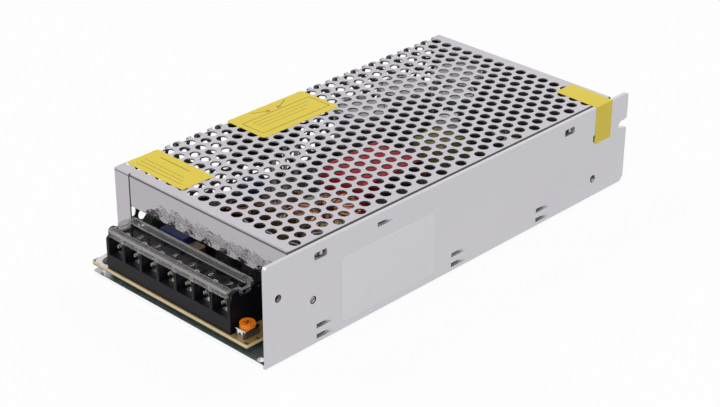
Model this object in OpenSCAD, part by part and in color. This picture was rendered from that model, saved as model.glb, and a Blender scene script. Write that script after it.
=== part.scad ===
// Enclosed switching power supply: a folded aluminium chassis with a perforated
// cover, a barrier terminal block under a clear hinged lid, and the circuit board
// with its wound parts, capacitors and power devices.
// X runs across the case, Y along it (terminals at the low end), Z up from the base.

/* [Case] */
// Length of the chassis, from the terminal end to the tail
case_l = 199; // [192:1:210]
// Width over both side walls
case_w = 95; // [94:0.5:98]
// Height from the base to the top sheet
case_h = 40; // [39.5:0.5:44]
// Thickness of the folded aluminium chassis
chassis_t = 1.5; // [1.4:0.1:1.6]
// How far the tail of the chassis runs on behind the cover
tail_l = 8; // [6:0.5:10]

/* [Perforated cover] */
// Thickness of the cover sheet
cover_t = 0.6; // [0.5:0.1:0.8]
// Where the cover starts behind the terminal end
cover_y = 12.8; // [12.6:0.1:13.2]
// Depth of the folded front flange
flange_h = 13; // [11:0.5:13.5]
// Diameter of each vent hole
vent_d = 4.3; // [3:0.1:4.4]
// Distance between rows of vent holes, across the case
vent_pitch_x = 5.81; // [5.6:0.01:6]
// Distance between columns of vent holes, along the case
vent_pitch_y = 5.31; // [5.1:0.01:5.4]

/* [Circuit board] */
// Thickness of the board
board_t = 1.6; // [1.2:0.2:1.6]
// Height of the stand-offs under the board
standoff_h = 2.7; // [2.5:0.1:2.8]

/* [Terminal block] */
// Number of terminals
ways = 7; // [5:1:7]
// Distance between terminals
pitch = 9.5; // [9:0.1:9.5]
// Height of the lid's top over the board
lid_h = 16.8; // [16.4:0.1:17]

/* [Wound parts] */
// Turns on the output choke
choke_turns = 20; // [10:1:20]
// Diameter of the output choke's wire
choke_wire_d = 1.6; // [1:0.1:1.6]
// Turns in each half of the line choke
line_turns = 8; // [5:1:8]

/* [Capacitors] */
// Diameter of the bulk capacitors
bulk_d = 22; // [18:1:22]
// Length of the bulk capacitors
bulk_l = 30; // [25:1:31]

/* [Hidden] */

$fn = 48;
eps = 0.02;                         // overlap that lets parts of one piece fuse
half_w = case_w / 2;
wall_in = half_w - chassis_t;       // inner face of the right wall
cover_end = case_l - tail_l;        // rear edge of the cover
cover_left = -half_w;               // outer face of the perforated wall
cover_right = wall_in - 0.6;        // edge of the top sheet beside the right wall
bend_r = 0.9;                       // outer radius of the cover's folds
vent_y = cover_y + 6.6;              // first column of vents
vent_x = cover_right - 3.7;         // first row of vents
vent_cols = floor((cover_end - 4 - vent_d / 2 - vent_y) / vent_pitch_y) + 1;
rim_h = 6;                          // plain strip at the foot of the perforated wall

board_z = chassis_t + standoff_h;   // underside of the board
top_z = board_z + board_t;          // component side of the board
board_left = -half_w + cover_t + 0.15;
board_right = wall_in - 0.4;
board_end = cover_end - 4.5;
corner_x = 37.4;                    // the board is cut back here, beside the right wall
corner_y = 13.6;
board_posts = [[-42, 4.2], [-41, 101], [-41, board_end - 6], [36.5, 109], [32, board_end - 6]];
screw_r = 1.4;                      // M3 shanks
clear_r = 1.5;                      // holes that they pass
tab_y = [24, cover_end - 23];       // upturned tabs of the base, inside the perforated wall
tab_l = 12;
tab_h = 11;
tab_screw_z = 7.5;

block_y = 0.6;                      // front face of the terminal block
block_d = 15;
block_w = ways * pitch + 0.7;
block_x = -38.6;                    // left end of the block
first_x = block_x + 0.35 + pitch / 2;
sill_z = top_z + 6.1;               // floor of the wire bays
comb_z = sill_z + 7.5;              // top of the dividers
lid_z = top_z + lid_h;              // top of the closed lid
divider_t = 1.4;
lid_t = 1.2;
hinge_y = 14.1;                     // axis that the lid turns on
hinge_z = lid_z - 2.9;
hinge_r = 0.55;
bay_back = 11.6;                    // rear wall of the bays
notch = [5.4, 11.4];                // cut in each end plate that the lid's hook drops into
screw_y = 7.2;                      // terminal screws

trimmer = [32.2, 5.3];
trimmer_top = top_z + 3.4;

// The case is drawn with Y = 0 at the terminal end, then centred
module seat() {
    translate([0, -case_l / 2, 0]) children();
}

// A profile drawn in X and Z, run along Y
module along_y(from, to) {
    translate([0, to, 0]) rotate([90, 0, 0]) linear_extrude(to - from) children();
}

// An outline drawn in Y and Z, given thickness along X
module across_x(from, to) {
    translate([from, 0, 0]) rotate([90, 0, 90]) linear_extrude(to - from) children();
}

// A flat outline drawn in X and Y, between two heights
module level(from, to) {
    translate([0, 0, from]) linear_extrude(to - from) children();
}

module box(x, y, z) {
    translate([x[0], y[0], z[0]]) cube([x[1] - x[0], y[1] - y[0], z[1] - z[0]]);
}

// A rectangle with round corners, between two corner points
module round_rect(a, b, r) {
    translate([a[0] + r, a[1]]) square([b[0] - a[0] - 2 * r, b[1] - a[1]]);
    translate([a[0], a[1] + r]) square([b[0] - a[0], b[1] - a[1] - 2 * r]);
    for (x = [a[0] + r, b[0] - r], y = [a[1] + r, b[1] - r]) translate([x, y]) circle(r);
}

// A quarter of a ring about the origin, in the quadrant given by the signs sx and sy
module fold(outer, t, sx, sy) {
    intersection() {
        difference() {
            circle(outer);
            circle(outer - t);
        }
        translate([sx > 0 ? 0 : -outer, sy > 0 ? 0 : -outer]) square(outer);
    }
}

// A post with its foot at a point of the plan
module post(p, z, r) {
    translate([p[0], p[1], z[0]]) cylinder(r = r, h = z[1] - z[0]);
}

// ---------------------------------------------------------------- chassis

side_hole = [5.8, 26.2];            // Y and Z of the holes in the right wall
device_hole = [22.2, 18.7];
foot_hole = [178.6, 8.6];
clamp_hole = [178, 26.6];
snap_y = [26, 161.8];               // windows for the cover's catches
snap_z = 35.2;
lance_y = [27.6, 97.7, 147];        // pairs of lances that hold the board's edge
lance_l = 7.8;
lance_in = 1.7;                     // how far a lance stands in from the wall
lance_h = 1.7;
lance_z = [board_z - 0.95, top_z + 1.6];
louvre = [58, 35.6];
base_hole = [42.5, 1.8];
base_hole_r = 1.4;
fold_r = 1.6;                       // outer radius of the fold along the base
nose_r = 1.5;                       // upper corners of the wall, at the terminal end and the tail
tail_r = 1.4;
corner_r = 1.6;                     // corners of the base
fix_x = 25;                         // tapped holes in the base
fix_y = [24.5, 174.5];

module lance_slot(y, z) {
    translate([y - lance_l / 2, z - lance_h / 2]) square([lance_l, lance_h]);
}

// The strip pressed in behind a slot: fast at the tail side, free at the other
module lance_tongue(y, z) {
    far = y + lance_l / 2;
    translate([0, 0, z - lance_h / 2 + 0.05])
        linear_extrude(lance_h - 0.1)
            polygon([[half_w, far + eps], [wall_in, far + eps], [wall_in - lance_in, y + 1.2],
                [wall_in - lance_in, y - 1.4], [wall_in - lance_in + 0.8, y - 1.4],
                [wall_in - lance_in + 0.8, y + 0.6]]);
}

module wall_outline() {
    difference() {
        union() {
            translate([0, fold_r]) square([case_l - tail_r, case_h - fold_r - tail_r]);
            translate([nose_r, case_h - 3]) square([case_l - nose_r - tail_r, 3]);
            translate([nose_r, case_h - nose_r]) circle(nose_r);
            translate([0, case_h - 3]) square([nose_r, 3 - nose_r]);
            translate([case_l - tail_r, case_h - tail_r]) circle(tail_r);
            translate([case_l - 3, fold_r + 1]) square([3, case_h - fold_r - 1 - tail_r]);
            polygon([[case_l - 4, fold_r], [case_l - 1.4, fold_r], [case_l, fold_r + 1.4],
                [case_l - 4, fold_r + 1.4]]);
        }
        for (p = [side_hole, device_hole]) translate(p) circle(clear_r);
        translate(foot_hole) circle(1.6);
        translate(clamp_hole) circle(clear_r);
        for (y = snap_y) round_rect([y - 3, snap_z - 1.4], [y + 3, snap_z + 1.4], 0.7);
        for (y = lance_y, z = lance_z) lance_slot(y, z);
        lance_slot(louvre[0], louvre[1]);
        // open slot at the tail
        translate([case_l - 3.4, 26.9]) circle(1.7);
        translate([case_l - 3.4, 25.2]) square([4, 3.4]);
        polygon([[case_l - 1.6, 25.2], [case_l + 1, 24.4], [case_l + 1, 29.4], [case_l - 1.6, 28.6]]);
    }
}

module base_outline() {
    left = cover_left + cover_t + 0.1;
    nose = cover_left + 0.1;
    r = corner_r;
    difference() {
        union() {
            translate([left + r, 0]) square([half_w - fold_r - left - r, case_l]);
            translate([left, r]) square([6, case_l - 2 * r]);
            translate([left + r, case_l - r]) circle(r);
            // ahead of the cover the base reaches the full width
            round_rect([nose, 0], [nose + 8, cover_y - 0.4], r);
        }
        translate([half_w - 1.8, case_l - 1.8]) polygon([[0.4, -0.4], [3, -3], [3, 3], [-2, 3]]);
        translate(base_hole) circle(base_hole_r);
        for (x = [-fix_x, fix_x], y = fix_y) translate([x, y]) circle(1.65);
        for (p = board_posts) translate(p) circle(1.25);
        // open slots at the tail
        for (x = [-34, 34]) {
            translate([x, case_l - 3.4]) circle(2.1);
            translate([x - 2.1, case_l - 3.4]) square([4.2, 4]);
        }
    }
}

module chassis() {
    seat() color("silver") difference() {
        union() {
            level(0, chassis_t) base_outline();
            across_x(wall_in, half_w) wall_outline();
            along_y(0, case_l - 1.4) translate([half_w - fold_r, fold_r]) fold(fold_r, chassis_t, 1, -1);
            for (y = lance_y, z = lance_z) lance_tongue(y, z);
            lance_tongue(louvre[0], louvre[1]);
            // tabs that the perforated wall is screwed to
            for (y = tab_y) {
                tab_x = cover_left + cover_t + 0.1;
                across_x(tab_x, tab_x + chassis_t)
                    round_rect([y, -3], [y + tab_l, tab_h], 2.5);
            }
        }
        box([-half_w, half_w], [0, case_l], [-5, 0]);
        for (y = tab_y)
            translate([-half_w, y + tab_l / 2, tab_screw_z]) rotate([0, 90, 0]) cylinder(r = 1.25, h = 4);
    }
}

// ---------------------------------------------------------------- cover

switch_y = 88.3;                    // middle of the selector switch
switch_z = 27.5;
switch_l = 20;
switch_h = 11;

function column_y(c) = vent_y + c * vent_pitch_y;
// Vents count from the right edge of the top sheet, round the fold and down the wall
function vent_run(c, k) = (cover_right - vent_x) + (k + 0.5 * (c % 2)) * vent_pitch_x;
top_run = cover_right - cover_left;
function on_top(s) = s < top_run - bend_r - vent_d / 2;
function on_wall(s) = s > top_run + bend_r + vent_d / 2 && s < top_run + case_h - rim_h - vent_d / 2;
function over_tab(y, z) = z < tab_h + 3 && min([for (t = tab_y) abs(y - t - tab_l / 2)]) < 9;
function beside_switch(y, z) = abs(y - switch_y) < 17 && abs(z - switch_z) < 9;
vent_rows = ceil((top_run + case_h) / vent_pitch_x);
rear_foot = 2.2;
flange_x = -38.2;                   // left end of the front flange
pillar_w = 8.6;                     // front return of the perforated wall

module top_sheet() {
    difference() {
        union() {
            translate([cover_left + bend_r, cover_y + bend_r])
                square([cover_right - cover_left - 2 * bend_r, cover_end - cover_y - 2 * bend_r]);
            translate([cover_left + bend_r, cover_y])
                square([flange_x - 0.5 - cover_left - bend_r, bend_r + eps]);
        }
        for (c = [0 : vent_cols - 1], k = [0 : vent_rows]) {
            s = vent_run(c, k);
            if (on_top(s)) translate([cover_right - s, column_y(c)]) circle(vent_d / 2);
        }
    }
}

module side_sheet() {
    difference() {
        translate([cover_y + bend_r, 0.3])
            square([cover_end - cover_y - bend_r - 0.1, case_h - bend_r - 0.3]);
        for (c = [0 : vent_cols - 1], k = [0 : vent_rows]) {
            s = vent_run(c, k);
            z = case_h - (s - top_run);
            if (on_wall(s) && !beside_switch(column_y(c), z) && !over_tab(column_y(c), z))
                translate([column_y(c), z]) circle(vent_d / 2);
        }
        // window of the selector switch, and its rivets
        translate([switch_y - 7.2, switch_z - 3.7]) square([14.4, 7.4]);
        for (s = [-1, 1]) translate([switch_y + s * 13, switch_z]) circle(1.3);
        for (y = tab_y) translate([y + tab_l / 2, tab_screw_z]) circle(1.6);
    }
}

module rear_panel() {
    translate([cover_left + bend_r, rear_foot])
        square([cover_right - cover_left - 2 * bend_r, case_h - bend_r - rear_foot]);
}

// Holes that break the fold between the top and the perforated wall
module fold_vents() {
    for (c = [0 : vent_cols - 1], k = [0 : vent_rows]) {
        s = vent_run(c, k);
        if (!on_top(s) && s <= top_run)
            translate([cover_right - s, column_y(c), case_h - 2.2]) cylinder(r = vent_d / 2, h = 3);
        if (s > top_run && s <= top_run + bend_r + vent_d / 2)
            translate([cover_left - 1, column_y(c), case_h - (s - top_run)])
                rotate([0, 90, 0]) cylinder(r = vent_d / 2, h = 3.2);
    }
}

module cover() {
    top_in = case_h - bend_r;
    seat() color("gainsboro") difference() {
        union() {
            level(case_h - cover_t, case_h) top_sheet();
            across_x(cover_left, cover_left + cover_t) side_sheet();
            // the four folds round the top sheet
            along_y(cover_y + bend_r, cover_end - bend_r) {
                translate([cover_left + bend_r, top_in]) fold(bend_r, cover_t, -1, 1);
                translate([cover_right - bend_r, top_in]) fold(bend_r, cover_t, 1, 1);
            }
            across_x(flange_x, cover_right - bend_r)
                translate([cover_y + bend_r, top_in]) fold(bend_r, cover_t, -1, 1);
            across_x(cover_left + bend_r, cover_right - bend_r)
                translate([cover_end - bend_r, top_in]) fold(bend_r, cover_t, 1, 1);
            // front flange, plain rear panel and short right-hand lip
            along_y(cover_y, cover_y + cover_t) {
                round_rect([flange_x, case_h - flange_h], [cover_right - bend_r, top_in - 1], 1);
                translate([flange_x, top_in - 3]) square([cover_right - bend_r - flange_x, 3]);
            }
            along_y(cover_end - cover_t, cover_end) rear_panel();
            across_x(cover_right - cover_t, cover_right) {
                translate([cover_y + bend_r, top_in - 2]) square([cover_end - cover_y - 2 * bend_r, 2]);
                for (y = snap_y) round_rect([y - 6, case_h - 8], [y + 6, top_in - 0.5], 1.5);
            }
            // front return of the perforated wall
            along_y(cover_y, cover_y + cover_t)
                translate([cover_left + bend_r, top_z + 0.6])
                    square([pillar_w - bend_r, case_h - cover_t + eps - top_z - 0.6]);
            translate([0, 0, top_z + 0.6]) linear_extrude(top_in - top_z - 0.6)
                translate([cover_left + bend_r, cover_y + bend_r]) fold(bend_r, cover_t, -1, -1);
            // catches that snap into the right wall
            for (y = snap_y)
                translate([cover_right - eps, y + 0.2, snap_z - 0.9])
                    linear_extrude(1.8) polygon([[0, 0], [1.2, 0.3], [1.2, 1.6], [0, 2.4]]);
        }
        fold_vents();
    }
}

module cover_screws() {
    seat() color("lightgray")
        for (y = tab_y) translate([0, y + tab_l / 2, tab_screw_z]) rotate([0, 90, 0]) {
            translate([0, 0, cover_left - 1.1 + 0.9]) difference() {
                translate([0, 0, -0.9]) cylinder(r1 = 2.2, r2 = 2.6, h = 0.9);
                for (a = [0, 90]) rotate([0, 0, a]) translate([-1.5, -0.25, -1]) cube([3, 0.5, 0.5]);
            }
            translate([0, 0, cover_left - 0.22]) cylinder(r = 1.15, h = 4);
        }
}

// ---------------------------------------------------------------- board and its fixings

module insulation_sheet() {
    seat() color("beige") level(chassis_t, chassis_t + 0.3) difference() {
        round_rect([board_left + 3, 15], [board_right - 2, board_end - 1], 2);
        for (p = board_posts) translate(p) circle(3.4);
        for (x = [-fix_x, fix_x], y = fix_y) translate([x, y]) circle(4);
    }
}

module standoffs() {
    seat() color("silver") for (p = board_posts) difference() {
        union() {
            post(p, [chassis_t, board_z], 2.7);
            post(p, [0.3, chassis_t + eps], 1.25);
        }
        post(p, [chassis_t + 0.2, board_z + 1], clear_r);
    }
}

module board() {
    seat() color("darkgoldenrod") level(board_z, top_z) difference() {
        union() {
            round_rect([board_left, 0], [corner_x, board_end], 0.6);
            // ahead of the cover the board stands out a little
            round_rect([board_left - 0.4, 0], [board_left + 8, cover_y - 0.6], 0.4);
            translate([0, corner_y]) square([board_right, board_end - corner_y]);
        }
        for (p = board_posts) translate(p) circle(clear_r);
        for (y = tab_y) translate([board_left - 1, y - 1.2]) square([2.8, tab_l + 2.4]);
        // holes of the contact strips
        for (i = [0 : ways - 1]) translate([bay_x(i) - 1.4, block_y + 12.2]) square([2.8, 1.2]);
    }
}

module pan_head(r, h) {
    difference() {
        intersection() {
            cylinder(r = r, h = h);
            translate([0, 0, -r * 0.7]) sphere(r = sqrt(r * r + pow(r * 0.7, 2)) * 1.02);
        }
        for (a = [0, 90]) rotate([0, 0, a]) translate([-r * 0.55, -0.35, h * 0.45]) cube([r * 1.1, 0.7, h]);
    }
}

module board_screws() {
    seat() color("dimgray") for (p = board_posts) translate([p[0], p[1], top_z]) {
        rotate([0, 0, 25]) pan_head(2.8, 2);
        translate([0, 0, -board_t - 1.8]) cylinder(r = screw_r, h = board_t + 1.8 + eps);
    }
}

// ---------------------------------------------------------------- terminal block

function bay_x(i) = first_x + i * pitch;

// Outline of the end plates, with the ear in front, the notch for the hook and the hinge hole
module end_plate_outline() {
    back = block_y + block_d;
    difference() {
        union() {
            translate([block_y, top_z]) square([block_d, comb_z - top_z - 2]);
            translate([block_y + 2, comb_z - 2.4]) square([block_d - 2, 2.4]);
            translate([block_y + 2, comb_z - 2]) circle(2);
            // ear
            translate([1.8, comb_z - 1]) square([3.6, 2.2]);
            translate([3.2, comb_z + 1.2]) circle(1.4);
            translate([4, comb_z + 1.2]) circle(1.4);
            translate([3.2, comb_z + 1.2]) square([0.8, 1.4]);
            // hinge lug
            translate([notch[1], comb_z - 1]) square([back - notch[1], 2]);
            translate([notch[1] + 1.4, comb_z + 0.9]) circle(1.4);
            translate([back - 1.4, comb_z + 0.9]) circle(1.4);
            translate([notch[1] + 1.4, comb_z + 0.9]) square([back - notch[1] - 2.8, 1.4]);
        }
        translate([hinge_y, hinge_z]) circle(hinge_r + 0.06);
    }
}

module divider_outline() {
    translate([block_y, sill_z - 1]) square([bay_back, comb_z - sill_z - 1]);
    translate([block_y + 2, comb_z - 2.4]) square([bay_back - 2, 2.4]);
    translate([block_y + 2, comb_z - 2]) circle(2);
}

module terminal_housing() {
    seat() color([0.1, 0.1, 0.11]) difference() {
        union() {
            box([block_x, block_x + block_w], [block_y, block_y + block_d], [top_z, sill_z]);
            box([block_x, block_x + block_w], [bay_back, block_y + block_d], [sill_z - 1, comb_z - 1.4]);
            for (i = [1 : ways - 1])
                translate([bay_x(i) - pitch / 2 - divider_t / 2, 0, 0])
                    across_x(0, divider_t) divider_outline();
            across_x(block_x, block_x + divider_t) end_plate_outline();
            across_x(block_x + block_w - divider_t, block_x + block_w) end_plate_outline();
        }
        // moulded relief under each bay, and the slot that each contact strip passes down through
        for (i = [0 : ways - 1]) {
            translate([bay_x(i), screw_y, top_z + 3]) cylinder(r = 1.66, h = 4);
            box([bay_x(i) - 3, bay_x(i) + 3], [2.4, 10], [top_z - 1, sill_z - 1.6]);
            box([bay_x(i) - 1.4, bay_x(i) + 1.4], [block_y + 12.2, block_y + 13.4],
                [top_z - 1, sill_z + 1.1]);
            box([bay_x(i) - 3.3, bay_x(i) + 3.3], [bay_back - 1, block_y + 13.4],
                [sill_z + 0.1, sill_z + 1.1]);
        }
    }
}

module contact_strips() {
    seat() color("silver") for (i = [0 : ways - 1]) translate([bay_x(i), 0, 0]) difference() {
        union() {
            box([-3.2, 3.2], [4.4, block_y + 13.3], [sill_z + 0.15, sill_z + 1]);
            box([-1.6, 1.6], [3, 5], [sill_z + 0.15, sill_z + 1]);
            box([-1.3, 1.3], [block_y + 12.3, block_y + 13.3], [board_z - 1, sill_z + 0.5]);
        }
        translate([0, screw_y, sill_z - 1]) cylinder(r = 1.8, h = 4);
    }
}

module clamp_plates() {
    z = sill_z + 1.05;
    seat() color("gainsboro") for (i = [0 : ways - 1]) translate([bay_x(i), screw_y, z]) difference() {
        union() {
            box([-3.4, 3.4], [-3.4, 3.4], [0, 0.8]);
            for (s = [-1, 1]) box([s * 3.1 - 0.3, s * 3.1 + 0.3], [-3.4, 3.4], [0.4, 1.9]);
        }
        translate([0, 0, -1]) cylinder(r = 1.8, h = 3);
    }
}

module terminal_screws() {
    seat() color("gainsboro") for (i = [0 : ways - 1])
        translate([bay_x(i), screw_y, sill_z + 1.9]) {
            difference() {
                union() {
                    cylinder(r = 2.7, h = 1.6);
                    translate([0, 0, 1.6]) cylinder(r1 = 2.7, r2 = 2.1, h = 0.7);
                }
                for (a = [20, 110]) rotate([0, 0, a]) translate([-1.9, -0.4, 1.2]) cube([3.8, 0.8, 2]);
            }
            translate([0, 0, -3.4]) cylinder(r = 1.6, h = 3.4 + eps);
        }
}

module terminal_lid() {
    x0 = block_x + divider_t + 0.3;
    x1 = block_x + block_w - divider_t - 0.3;
    rear = 12.9;
    seat() color([0.85, 0.88, 0.9, 0.4]) difference() {
        union() {
            // top plate with a raised band in front and a raised bar at the back, then the front lip
            box([x0, x1], [block_y, rear], [lid_z - lid_t, lid_z - 0.3]);
            box([x0, x1], [block_y, block_y + 2.3], [lid_z - 0.5, lid_z]);
            box([x0, x1], [9.3, rear], [lid_z - 0.5, lid_z + 0.35]);
            box([x0, x1], [block_y, block_y + lid_t], [comb_z + 0.05, lid_z - 0.5]);
            // end walls, between the end plates
            for (x = [x0, x1 - 1])
                across_x(x, x + 1) translate([block_y, comb_z + 1.8]) square([rear - block_y, 1]);
            // ribs on the lip at each divider
            for (i = [1 : ways - 1])
                box([bay_x(i) - pitch / 2 - 0.8, bay_x(i) - pitch / 2 + 0.8], [block_y - 0.4, block_y + 0.5],
                    [comb_z + 0.3, lid_z - 1.1]);
            // and the stubs behind the band, where the mould was gated
            for (i = [1 : ways - 1])
                box([bay_x(i) - pitch / 2 - 0.7, bay_x(i) - pitch / 2 + 0.7], [block_y + 1.8, block_y + 3],
                    [lid_z - 0.5, lid_z + 0.15]);
            // tabs that drop into the notches of the end plates
            for (s = [[block_x, x0 + 1], [x1 - 1, block_x + block_w]])
                box(s, [notch[0] + 1, notch[1] - 0.9], [comb_z + 0.2, lid_z - 0.2]);
            // arms down to the hinge
            for (x = [x0, x1 - 5]) {
                across_x(x, x + 5) polygon([[rear - 1.6, lid_z - 0.3], [rear - 0.1, lid_z - 0.3],
                    [hinge_y + 1, hinge_z + 0.3], [hinge_y - 1, hinge_z - 0.3]]);
                translate([x, hinge_y, hinge_z]) rotate([0, 90, 0]) cylinder(r = 1.1, h = 5);
            }
            for (x = [block_x + 0.3, x1 - 0.5])
                translate([x, hinge_y, hinge_z]) rotate([0, 90, 0])
                    cylinder(r = hinge_r, h = x0 - block_x + 0.2);
        }
    }
}

// ---------------------------------------------------------------- trimmer

module trimmer_body() {
    seat() color([0.2, 0.17, 0.15]) {
        box([trimmer[0] - 2.3, trimmer[0] + 2.3], [trimmer[1] - 3.2, trimmer[1] + 3.2],
            [top_z, trimmer_top - 0.4]);
    }
}

module trimmer_frame() {
    x = trimmer[0];
    y = trimmer[1];
    seat() color("gainsboro") {
        difference() {
            box([x - 2.8, x + 2.8], [y - 3.5, y + 3.5], [trimmer_top - 0.4, trimmer_top]);
            translate([x, y, 0]) cylinder(r = 1, h = 20);
        }
        difference() {
            box([x - 1.4, x + 1.4], [y - 3.5, y - 3.25], [top_z + 0.1, trimmer_top - 0.4 + eps]);
            box([x - 0.4, x + 0.4], [y - 4, y - 3], [top_z + 1.2, top_z + 2.2]);
        }
    }
}

module trimmer_rotor() {
    seat() color("darkorange") translate([trimmer[0], trimmer[1], trimmer_top + 0.06]) {
        difference() {
            union() {
                cylinder(r = 2.8, h = 1.5);
                rotate([0, 0, 35]) translate([2.2, -0.5, 0.6]) cube([0.9, 1, 0.7]);
            }
            for (a = [35, 125]) rotate([0, 0, a]) translate([-1.5, -0.4, 0.8]) cube([3, 0.8, 2]);
        }
        translate([0, 0, -0.42]) cylinder(r = 0.95, h = 0.42 + eps);
    }
}

// ---------------------------------------------------------------- input side

module filter_capacitor() {
    seat() color([0.12, 0.17, 0.42]) level(top_z, top_z + 14.7) round_rect([-27.4, 16.8], [-14.2, 22.8], 0.8);
}

module thermistor() {
    seat() color([0.1, 0.12, 0.1]) {
        translate([-38.6, 24, top_z + 9.5]) rotate([0, 90, 0]) cylinder(r = 7, h = 4.4);
        for (s = [-1, 1]) post([-36.4, 24 + s * 3.6], [top_z, top_z + 5], 0.5);
    }
}

fuse_y = [38, 58];
fuse_x = -40.5;
fuse_z = top_z + 5;

module fuse() {
    seat() color([0.8, 0.85, 0.85]) {
        translate([fuse_x, fuse_y[0], fuse_z]) rotate([-90, 0, 0]) {
            cylinder(r = 2.2, h = fuse_y[1] - fuse_y[0]);
            for (z = [0, fuse_y[1] - fuse_y[0] - 5]) translate([0, 0, z]) cylinder(r = 2.6, h = 5);
        }
    }
}

module fuse_clips() {
    seat() color("silver") for (y = [fuse_y[0] + 0.7, fuse_y[1] - 4.7])
        along_y(y, y + 4) translate([fuse_x, fuse_z])
        difference() {
            union() {
                circle(3.1);
                translate([-3.1, -5]) square([6.2, 5]);
            }
            circle(2.62);
            translate([-2.1, 1]) square([4.2, 5]);
            translate([-2.5, -4.5]) square([5, 3]);
        }
}

line_c = [-23, 43.5];
line_r = [5.5, 10];
line_h = 9;
cup_r = 13;
cup_h = 14.2;
core_round = 0.8;                   // corners of the ring cores

module ring_core(r, z) {
    rotate_extrude() round_rect([r[0], z[0]], [r[1], z[1]], core_round);
}

// Moulded cup that the line choke stands in
module line_choke_base() {
    seat() color([0.12, 0.12, 0.12]) translate([line_c[0], line_c[1], top_z]) difference() {
        union() {
            cylinder(r = cup_r, h = cup_h);
            level(0, 1.5) round_rect([-12.5, -12.5], [12.5, 12.5], 3);
        }
        translate([0, 0, 1.5]) cylinder(r = cup_r - 0.8, h = cup_h);
    }
}

module line_choke_core() {
    seat() color([0.15, 0.4, 0.25]) translate([line_c[0], line_c[1], top_z + 3.3])
        ring_core(line_r, [0, line_h]);
}

// A wire wound round a ring core: n turns between two angles, swept as one closed tube.
// Every second turn lies one wire further in, so that the turns clear each other in the bore.
module toroid_wire(core_r, core_z, wire_r, n, from, to, sides) {
    gap = 0.2;
    round_r = wire_r + gap + core_round;
    mid = (core_r[0] + core_r[1]) / 2;
    mid_z = (core_z[0] + core_z[1]) / 2;
    half_r = (core_r[1] - core_r[0]) / 2 + wire_r + gap;
    half_z = (core_z[1] - core_z[0]) / 2 + wire_r + gap;
    steps = 12;
    total = n * steps;
    function layer(k) = floor((k + steps) / steps) % 2 * (2 * wire_r + 0.08);
    function side(c, k) = c == 1 || c == 2 ? -half_r - layer(k) + round_r : half_r - round_r;
    function level_of(c) = c < 2 ? half_z - round_r : round_r - half_z;
    function at(k) = let (j = (k + steps) % steps, c = floor(j / 3), a = 90 * c + 45 * (j % 3),
        phi = from + (to - from) * k / total, r = mid + side(c, k) + round_r * cos(a))
        [r * cos(phi), r * sin(phi), mid_z + level_of(c) + round_r * sin(a)];
    function unit(v) = v / norm(v);
    function ring(k) = let (t = unit(at(k + 1) - at(k - 1)), phi = from + (to - from) * k / total,
        e = unit(cross(t, [-sin(phi), cos(phi), 0])), f = cross(t, e), p = at(k))
        [for (j = [0 : sides - 1]) p + wire_r * (cos(360 * j / sides) * e + sin(360 * j / sides) * f)];
    points = [for (k = [0 : total]) each ring(k)];
    walls = [for (k = [0 : total - 1], j = [0 : sides - 1]) let (q = (j + 1) % sides)
        [k * sides + j, k * sides + q, (k + 1) * sides + q, (k + 1) * sides + j]];
    first = [for (j = [sides - 1 : -1 : 0]) j];
    last = [for (j = [0 : sides - 1]) total * sides + j];
    polyhedron(points, concat([first], walls, [last]), convexity = 10);
}

module line_choke_windings() {
    seat() color("peru") translate([line_c[0], line_c[1], top_z + 3.3])
        for (a = [20, 200])
            toroid_wire(line_r, [0, line_h], 0.7, line_turns, a, a + 140, 6);
}

module safety_capacitors() {
    seat() color("royalblue") for (p = [[-41, 68, 6], [-41, 76, 6], [-2, 38.5, 9.5]]) {
        translate([p[0], p[1], top_z + p[2]]) rotate([-90, 0, 0]) cylinder(r = 4, h = 3.4);
        for (s = [-1, 1]) post([p[0] + s * 2.4, p[1] + 1.7], [top_z, top_z + p[2] - 2], 0.35);
    }
}

module bridge_rectifier() {
    seat() color([0.1, 0.1, 0.1]) {
        along_y(102, 105.6) difference() {
            translate([-33, top_z + 3]) square([22, 18]);
            translate([-22, top_z + 16]) circle(1.7);
            translate([-33, top_z + 18]) polygon([[-1, 0], [3, 4], [-1, 4]]);
        }
        for (i = [0 : 3]) post([-30 + i * 5.3, 103.8], [top_z, top_z + 3.1], 0.6);
    }
}

// Place of each bulk capacitor, and its diameter as a share of bulk_d
bulk_p = [[-25.2, 120.5, 1], [-27, 147, 1], [-8.3, 158, 0.77], [-21.5, 174.2, 1]];

// A can in its shrink sleeve: crimp groove, bare top with a rolled rim
module can(d, l) {
    r = d / 2;
    rotate_extrude()
        polygon([[0, 0], [r - 0.6, 0], [r, 0.8], [r, l * 0.12], [r - 0.7, l * 0.15], [r - 0.7, l * 0.17],
        [r, l * 0.2], [r, l - 0.9], [r - 0.8, l], [r - 1.6, l], [r - 1.9, l - 0.5], [0, l - 0.5]]);
}

module bulk_capacitors() {
    seat() color([0.16, 0.17, 0.2]) for (p = bulk_p)
        translate([p[0], p[1], top_z]) can(bulk_d * p[2], bulk_l);
}

// ---------------------------------------------------------------- voltage selector

switch_in = cover_left + cover_t;

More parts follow.
